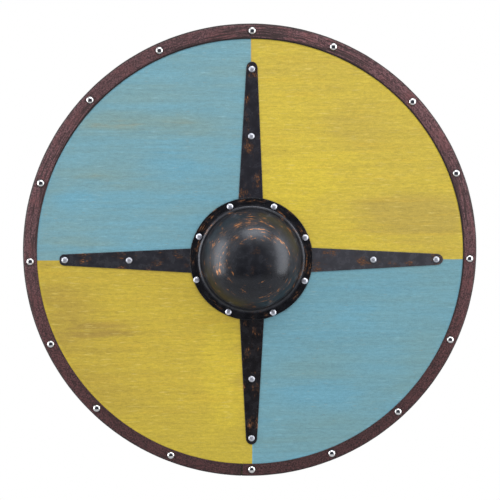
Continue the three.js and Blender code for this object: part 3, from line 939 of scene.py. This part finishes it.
def make_boss():
    """A turned dome and flange with a slightly beaten outside."""
    lining_fillet = (boss_fillet + boss_sheet, boss_fillet + boss_sheet)
    edge_middle = (flange_radius - flange_edge_round, flange_front + flange_edge_round)
    edge_radii = (flange_edge_round, flange_edge_round)
    outside = arc((0, dome_base), (dome_radius, dome_height), -90, 0, 40)
    outside += [(flare_start, dome_base + flare_start_sink), (flare_end, flange_front - flare_end_lift)]
    flange_steps = 6
    flat_start = flare_end + flare_run_out
    reach = flange_radius - flange_edge_round - flat_start
    outside += [(flat_start + reach * i / flange_steps, flange_front) for i in range(flange_steps)]
    outside += arc(edge_middle, edge_radii, -90, 0, 3)
    inside = arc((0, dome_base), (dome_radius - boss_sheet, dome_height - boss_sheet), -90, 0, 24)
    inside += arc((dome_radius + boss_fillet, dome_base), lining_fillet, 180, 90, 5)[1:]
    profile = outside + [(flange_radius, arm_front)] + list(reversed(inside))
    sections = turned_sections(profile, boss_steps, origin)
    dome_middle = Vector((0, dome_base, 0))
    for section in sections:
        for j in range(len(outside)):
            point = section[j]
            beaten = 0.5 + 0.5 * noise.noise(point * dome_beats_per_metre)
            section[j] = point + (dome_middle - point).normalized() * dome_beaten_depth * beaten
    boss = make_piece("boss_shell", sections, True, boss_material(), ["boss"], 40)
    hole = bore(boss_rivet[2] + hole_gap, flange_front - cut_overrun, arm_front + cut_overrun)
    cut(boss, [(place, hole) for place in boss_places], rivet_hole_steps, 40)


def arm_loop(half, front, rounding):
    """An arm's section as (side, y): a flat back and a front with rounded edges."""
    radii = (rounding, rounding)
    flat = half - rounding
    face_steps = 10
    loop = [(-half, board_front), (half, board_front)]
    loop += arc((flat, front + rounding), radii, 0, -90, 3)
    loop += [(flat * (1 - 2 * i / face_steps), front) for i in range(1, face_steps)]
    loop += arc((-flat, front + rounding), radii, -90, -180, 3)
    return loop


def make_arm(name, material):
    """A tapered strip from under the flange to a round tip past its outer rivet."""
    inner_place, outer_place = arm_places[name]
    along = Vector((outer_place.x - inner_place.x, 0, outer_place.z - inner_place.z)).normalized()
    across = Vector((-along.z, 0, along.x))
    foot = Vector((outer_place.x, 0, outer_place.z))
    outer = foot.dot(along)
    foot -= along * outer
    low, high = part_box(f"arm_{name}")
    tip = max(abs(low.dot(along)), abs(high.dot(along)))
    tip_length = tip - outer
    taper = (arm_root_width - arm_tip_width) / (outer - flange_radius)
    body_steps = 70
    reaches = [arm_root_reach + (outer - arm_root_reach) * i / body_steps for i in range(body_steps)]
    tip_steps = 16
    reaches += [outer + tip_length * sin(pi / 2 * i / tip_steps) for i in range(tip_steps)]
    reaches.append(tip - arm_tip_flat)
    power = arm_tip_powers[name]
    sections = []
    for reach in reaches:
        half = (arm_tip_width + taper * (outer - min(reach, outer))) / 2
        if reach > outer:
            share = (reach - outer) / tip_length
            half *= (1 - share ** power) ** (1 / power)
        near_tip = min(1, (tip - reach) / (2 * arm_edge_round))
        rounding = min(arm_edge_round, half / 2)
        front = arm_front + rounding * (1 - near_tip) ** 2
        section = []
        for side, y in arm_loop(half, front, rounding):
            point = foot + along * reach + across * side + Vector((0, y, 0))
            if y < board_front - arm_plain_edge:
                beaten = 0.5 + 0.5 * noise.noise(point * arm_beats_per_metre)
                point.y += arm_beaten_depth * beaten
            section.append(point)
        sections.append(section)
    arm = make_piece(f"steel_arm_{name}", sections, False, material, [f"arm_{name}"])
    hole = bore(arm_rivet[2] + hole_gap, arm_front - cut_overrun, board_front + cut_overrun)
    cut(arm, [(place, hole) for place in arm_places[name]], rivet_hole_steps)


def make_rivet(name, node, sizes, material, seat):
    """Domed head in front, formed tail behind. The head's underside reaches down to its seat."""
    head, height, shank, tail, tail_height = sizes
    low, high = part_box(node)
    front = low.y + height - rivet_lip
    back = high.y - tail_height + rivet_lip
    profile = arc((0, front), (head, height - rivet_lip), -90, 0, 14)
    profile += arc((head - rivet_lip, front), (rivet_lip, rivet_lip), 0, 90, 3)[1:]
    profile += [(head - 2 * rivet_lip, seat), (shank, seat), (shank, back - rivet_lip)]
    profile += [(tail - rivet_lip, back - rivet_lip), (tail, back)]
    profile += arc((0, back), (tail, tail_height - rivet_lip), 0, 90, 6)[1:]
    sections = turned_sections(profile, fastener_steps, centre(node))
    make_piece(name, sections, True, material, [node], 45)


def make_washer(name, node, sizes, material):
    """A flat washer that fits the rivet with these sizes."""
    low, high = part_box(node)
    hole = sizes[2] + hole_gap
    rim = washer_radius - washer_bevel
    profile = [
        (hole, low.y), (rim, low.y), (washer_radius, low.y + washer_bevel),
        (washer_radius, high.y - washer_bevel), (rim, high.y), (hole + washer_bevel, high.y),
        (hole, high.y - washer_bevel),
    ]
    sections = turned_sections(profile, fastener_steps, centre(node))
    make_piece(name, sections, True, material, [node], 30)


def make_fasteners():
    chrome = metal_material(
        "rivet_chrome", paint(220, 220, 223), paint(204, 203, 201), 0.08, 0.14, 260, edge_light=0.55,
    )
    clean = metal_material(
        "rivet_aluminium", paint(208, 211, 223), paint(186, 190, 204), 0.38, 0.46, 320, 0.8,
    )
    edge_shaded = metal_material(
        "rivet_aluminium_edge_shaded", paint(200, 203, 214), paint(178, 182, 195), 0.38, 0.46, 320, 0.8, 0.25,
    )
    zinc = zinc_material()
    seat = leather_front + rim_seat_sink
    for i in range(1, rim_rivet_count + 1):
        make_rivet(f"dome_rivet_{i}", f"rim_rivet_{i}", rim_rivet, chrome, seat)
    seat = flange_front + steel_seat_sink
    for i in range(1, boss_rivet_count + 1):
        make_rivet(f"flange_rivet_{i}", f"boss_rivet_{i}", boss_rivet, clean, seat)
        make_washer(f"flange_washer_{i}", f"boss_washer_{i}", boss_rivet, zinc)
    seat = arm_front + steel_seat_sink
    for which in [f"{name}_{end}" for name in arm_names for end in ("inner", "outer")]:
        make_rivet(
            f"strip_rivet_{which}", f"arm_rivet_{which}", arm_rivet, edge_shaded, seat,
        )
        make_washer(f"strip_washer_{which}", f"arm_washer_{which}", arm_rivet, zinc)


def smooth_share(value, low, high):
    share = min(1, max(0, (value - low) / (high - low)))
    return share * share * (3 - 2 * share)


def grip_section(z, low, high):
    """One level of the carved grip: an oval in the hand hold, and a flat-backed land beyond it."""
    shoulder = hand_hold_half + shoulder_length
    far = high if z > 0 else -low
    reach = abs(z)
    carve = smooth_share(reach, hand_hold_half, shoulder + shoulder_length)
    taper = min(1, max(0, (reach - shoulder) / (far - shoulder)))
    land_half = (land_root_width + (land_tip_width - land_root_width) * taper) / 2
    half_breadth = grip_half_breadth + (land_half - grip_half_breadth) * carve
    end_round = land_tip_width / 2
    past = max(0, reach - (far - end_round)) / end_round
    half_breadth *= sqrt(max(0, 1 - min(1, past) ** 2))
    rise = smooth_share(reach, hand_hold_half, shoulder)
    front = -grip_half_depth + (board_back + grip_half_depth) * rise
    back = grip_half_depth + (land_back - grip_half_depth) * carve
    middle = (front + back) / 2
    half_depth = (back - front) / 2
    power = hold_power + (land_power - hold_power) * carve
    points = []
    steps = 48
    for i in range(steps):
        angle = tau * i / steps
        c, s = cos(angle), sin(angle)
        across = half_breadth * copysign(abs(c) ** (2 / power), c)
        deep = half_depth * copysign(abs(s) ** (2 / power), s)
        points.append(Vector((across, middle + deep, z)))
    return points


def make_grip():
    low = grip_low.z
    high = grip_high.z
    steps = 150
    end_steps = 10
    end_round = land_tip_width / 2
    body = [low + end_round + (high - low - 2 * end_round) * i / steps for i in range(steps + 1)]
    turns = [sin(pi / 2 * i / end_steps) for i in range(1, end_steps)] + [last_turn_share]
    levels = [low + end_round * (1 - turn) for turn in reversed(turns)] + body
    levels += [high - end_round * (1 - turn) for turn in turns]
    sections = [grip_section(z, low, high) for z in levels]
    grip = make_piece("carved_grip", sections, False, grip_material(), ["hand_grip"], 40)
    shank = arm_rivet[2] + hole_gap
    front = board_back - cut_overrun
    back = land_back + cut_overrun
    hole = [(0, front), (shank, front), (shank, recess_floor)]
    hole += [(recess_radius, recess_floor), (recess_radius, back), (0, back)]
    cut(grip, [(place, hole) for place in arm_places["top"] + arm_places["bottom"]], 40, 40)


def wrap_height(turn, from_end):
    """How thick the wrap is at a number of turns: each turn laps a little over the last."""
    phase = turn % 1
    fall = 1 - lap_fall_share * smooth_share(phase, lap_step_share, 1)
    step = smooth_share(phase, 0, lap_step_share) * fall
    height = wrap_thickness * (lap_low_share + lap_rise_share * step)
    return height * min(1, wrap_end_share + (1 - wrap_end_share) * from_end)


def make_wrap():
    """A leather strip wound round the hand hold."""
    steps_around = 120
    steps_along = 220
    end_steps = 4
    base_across = grip_half_breadth + wrap_gap
    base_deep = grip_half_depth + wrap_gap
    around = [tau * j / steps_around for j in range(steps_around)]
    rings = []
    for i in range(steps_along + 1):
        z = -wrap_half_length + 2 * wrap_half_length * i / steps_along
        from_end = min(i, steps_along - i) / end_steps
        ring = []
        for angle in around:
            turn = wrap_turns * i / steps_along - angle / tau
            across = cos(angle)
            deep = sin(angle)
            uneven = wrap_unevenness * noise.noise(Vector((across * 3, deep * 3, z * 160)))
            height = wrap_height(turn, from_end) + uneven
            ring.append(Vector(((base_across + height) * across, (base_deep + height) * deep, z)))
        rings.append(ring)
    for z in (wrap_half_length, -wrap_half_length):
        rings.append([Vector((base_across * cos(a), base_deep * sin(a), z)) for a in around])
    make_piece("wound_wrap", rings, True, wrap_material(), ["grip_wrap"], 50)


def make_object():
    make_board()
    make_edging()
    make_boss()
    for name, (darker, lighter) in arm_lit_and_shaded_tones.items():
        make_arm(name, arm_material(f"arm_steel_{name}", name in ("left", "right"), darker, lighter))
    make_fasteners()
    make_grip()
    make_wrap()


# Stage

floor_drop = 1.0
floor_reach = 1.5
floor_fades = (0.8, 1.45)
floor_grey = (0.62, 0.62, 0.62, 1)
floor_roughness = 0.9
white = (1, 1, 1, 1)
low_white = (1, 0.97, 0.92, 1)
dark_spot = (0.04, 0.045, 0.06, 1)
dark_spot_fades = (0.68, 0.48)

# Lamps: azimuth, elevation, distance, width and height, brightness, and whether matt surfaces see them
lamps = {
    "left_panel": (-71, 4, 2.2, (1.2, 2.4), 5.2, False),
    "right_panel": (65, 6, 2.2, (1.1, 2.6), 4.2, False),
    "top_panel": (14, 55, 2.4, (1.8, 0.9), 3.4, True),
    "top_sheen": (6, 58, 2.3, (1.6, 0.5), 3, False),
}


def direction(azimuth, elevation):
    """The way from the middle to a place at these degrees. An azimuth of 0 is straight in front."""
    around = radians(azimuth)
    rise = radians(elevation)
    level = cos(rise)
    return Vector((sin(around) * level, -cos(around) * level, sin(rise)))


def make_camera():
    target = Vector((0, board_middle, disc_rise))
    place = target + direction(view_azimuth, view_elevation) * view_distance
    aim = target + Vector((aim_right, 0, aim_up))
    data = bpy.data.cameras.new("camera")
    data.lens = lens_mm
    data.sensor_width = sensor_mm
    camera = placed("camera", data)
    camera.location = place
    camera.rotation_euler = (aim - place).to_track_quat("-Z", "Y").to_euler()
    bpy.context.scene.camera = camera


def make_lamp(name, azimuth, elevation, distance, size, brightness, lights_up):
    """A soft panel that faces the origin, unseen by the camera. It may be there for reflections only."""
    way = direction(azimuth, elevation)
    data = bpy.data.lights.new(name, "AREA")
    data.shape = "RECTANGLE"
    data.size, data.size_y = size
    data.energy = brightness * pi * data.size * data.size_y
    lamp = placed(name, data)
    lamp.location = way * distance
    lamp.rotation_euler = (-way).to_track_quat("-Z", "Y").to_euler()
    lamp.visible_camera = False
    lamp.visible_diffuse = lights_up


def make_floor():
    """A pale disc that turns to the backdrop's white towards its edge."""
    steps = 96
    turns = [tau * i / steps for i in range(steps)]
    points = [(floor_reach * cos(turn), floor_reach * sin(turn), -floor_drop) for turn in turns]
    mesh = bpy.data.meshes.new("floor")
    mesh.from_pydata(points, [], [tuple(range(steps))])
    floor = placed("floor", mesh)
    g = material_graph("floor")
    shader = g.tree.nodes["Principled BSDF"]
    shader.inputs["Base Color"].default_value = floor_grey
    shader.inputs["Roughness"].default_value = floor_roughness
    seen = g.rays("Camera", "Glossy", "Transmission")
    fade = g.times(g.ramp(g.length(g.x, g.y), *floor_fades), seen)
    g.show(fade, shader, g.node("Emission"), "Material Output")
    mesh.materials.append(g.owner)


def make_world():
    """White to the camera and through glass. Metal shows that white too, and a darker room in front."""
    world = bpy.data.worlds.new("studio")
    bpy.context.scene.world = world
    g = Graph(world, "Generated")
    dark = g.times(g.ramp(g.length(g.x, g.z), *dark_spot_fades), g.ramp(g.y, 0, -0.3))
    tint = g.mix(g.ramp(g.z, 0, -0.5), white, low_white)
    even = g.scaled(tint, g.ramp(g.z, -0.5, 0.5, 0.64, 0.98))
    backdrop = g.ramp(g.y, 0, 0.3)
    mirrored = g.scaled(tint, g.most(g.ramp(g.z, -0.45, 0.5, 0.34, 0.98), backdrop))
    mirrored = g.mix(dark, mirrored, dark_spot)
    studio = g.tree.nodes["Background"]
    g.feed(studio.inputs["Color"], g.mix(g.rays("Glossy"), even, mirrored))
    plain = g.node("Background", {"Color": white})
    g.show(g.rays("Camera", "Transmission"), studio, plain, "World Output")


make_camera()
make_object()
make_floor()
make_world()
for name, lamp in lamps.items():
    make_lamp(name, *lamp)
bpy.context.scene.view_settings.view_transform = "Standard"
